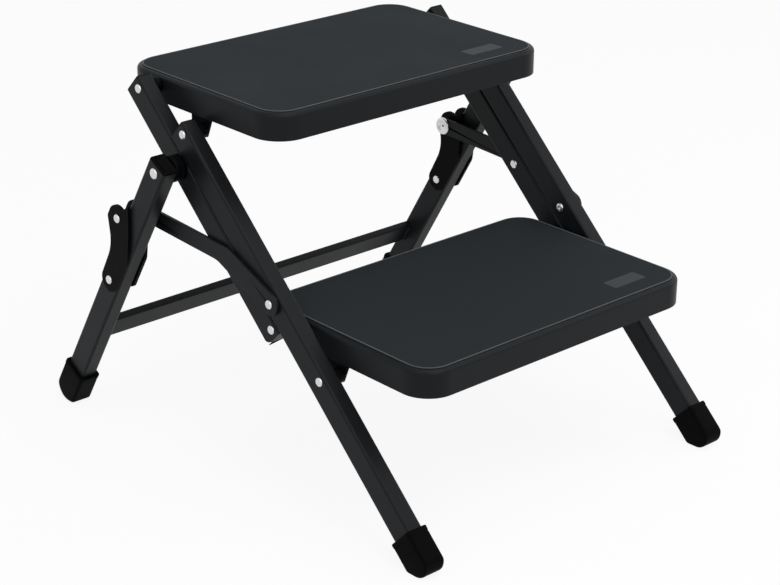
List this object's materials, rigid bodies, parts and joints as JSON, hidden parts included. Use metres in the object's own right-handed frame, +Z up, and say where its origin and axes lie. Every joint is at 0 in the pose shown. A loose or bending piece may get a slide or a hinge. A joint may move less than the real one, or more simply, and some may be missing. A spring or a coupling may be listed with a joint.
{
  "type": "folding step stool",
  "caption": "Folding step stool with broad treads on slanted front legs, rear bars and rear legs that fold flat through braces and levers.",
  "frame": {"origin": "on the floor, midway between the sides and between the front and rear ends of the opened stool", "axes": "+Z up, -Y to the front where the user steps up, +X to the user's right"},
  "size_m": [0.5496, 0.6232, 0.4326],
  "materials": {
    "black_paint": "satin powder coat",
    "mat_rubber": "fine-grained matt",
    "label_plate": "matt",
    "rivet_steel": "bright",
    "black_plastic": "satin moulded",
    "foot_rubber": "satin moulded"
  },
  "bodies": {
    "front_frame": {"front_leg_left": "black_paint", "front_leg_right": "black_paint", "front_foot_left": "foot_rubber", "front_foot_right": "foot_rubber", "front_leg_plug_left": "black_plastic", "front_leg_plug_right": "black_plastic", "upper_front_rivets": "rivet_steel", "lower_front_rivets": "rivet_steel", "brace_front_rivets": "rivet_steel"},
    "upper_step": {"upper_tread": "black_paint", "upper_mat": "mat_rubber", "upper_label_blank": "label_plate", "upper_stiffener": "black_paint", "upper_bracket_left": "black_paint", "upper_bracket_right": "black_paint", "upper_washers": "black_plastic", "upper_rear_rivets": "rivet_steel"},
    "lower_step": {"lower_tread": "black_paint", "lower_mat": "mat_rubber", "lower_label_blank": "label_plate", "lower_stiffener": "black_paint", "lower_bracket_left": "black_paint", "lower_bracket_right": "black_paint", "lower_washers": "black_plastic", "lower_rear_rivets": "rivet_steel"},
    "rear_bars": {"rear_bar_left": "black_paint", "rear_bar_right": "black_paint", "rear_bar_plug_left": "black_plastic", "rear_bar_plug_right": "black_plastic", "rear_leg_rivets": "rivet_steel"},
    "rear_legs": {"rear_leg_left": "black_paint", "rear_leg_right": "black_paint", "rear_foot_left": "foot_rubber", "rear_foot_right": "foot_rubber", "rear_leg_plug_left": "black_plastic", "rear_leg_plug_right": "black_plastic", "rear_leg_spacer_left": "black_plastic", "rear_leg_spacer_right": "black_plastic", "rear_crossbar": "black_paint", "lever_foot_rivets": "rivet_steel"},
    "braces": {"brace_left": "black_paint", "brace_right": "black_paint", "brace_middle_rivets": "rivet_steel", "brace_end_rings": "rivet_steel"},
    "levers": {"lever_outer_cheek_left": "black_plastic", "lever_outer_cheek_right": "black_plastic", "lever_inner_cheek_left": "black_plastic", "lever_inner_cheek_right": "black_plastic", "lever_sleeves": "rivet_steel", "lever_collars": "black_plastic", "lever_top_rivets": "rivet_steel"}
  },
  "joints": [
    {"name": "upper_step_fold", "type": "hinge", "parent": "front_frame", "child": "upper_step", "pos_m": [0, 0.08973, 0.3844], "axis": [-1, 0, 0], "range_deg": [0, 132.29]},
    {"name": "lower_step_fold", "type": "hinge", "parent": "front_frame", "child": "lower_step", "pos_m": [0, -0.13894, 0.1674], "axis": [-1, 0, 0], "range_deg": [0, 132.31]},
    {"name": "brace_fold", "type": "hinge", "parent": "front_frame", "child": "braces", "pos_m": [0, -0.06133, 0.23278], "axis": [-1, 0, 0], "range_deg": [0, 132.31]},
    {"name": "rear_bar_fold", "type": "hinge", "parent": "upper_step", "child": "rear_bars", "pos_m": [0, 0.16934, 0.41818], "axis": [-1, 0, 0], "range_deg": [-132.31, 0]},
    {"name": "rear_leg_swing", "type": "hinge", "parent": "rear_bars", "child": "rear_legs", "pos_m": [0, 0.09724, 0.34562], "axis": [-1, 0, 0], "range_deg": [0, 77.01]},
    {"name": "lever_swing", "type": "hinge", "parent": "rear_legs", "child": "levers", "pos_m": [0, 0.18707, 0.19311], "axis": [-1, 0, 0], "range_deg": [0, 149.43]}
  ],
  "couplings": [
    {"joint": "lower_step_fold", "follows": "upper_step_fold", "ratio": 1},
    {"joint": "brace_fold", "follows": "upper_step_fold", "ratio": 1},
    {"joint": "rear_bar_fold", "follows": "upper_step_fold", "ratio": -1},
    {"joint": "rear_leg_swing", "follows": "upper_step_fold", "ratio": 0.58203},
    {"joint": "lever_swing", "follows": "upper_step_fold", "ratio": 1.1294}
  ]
}
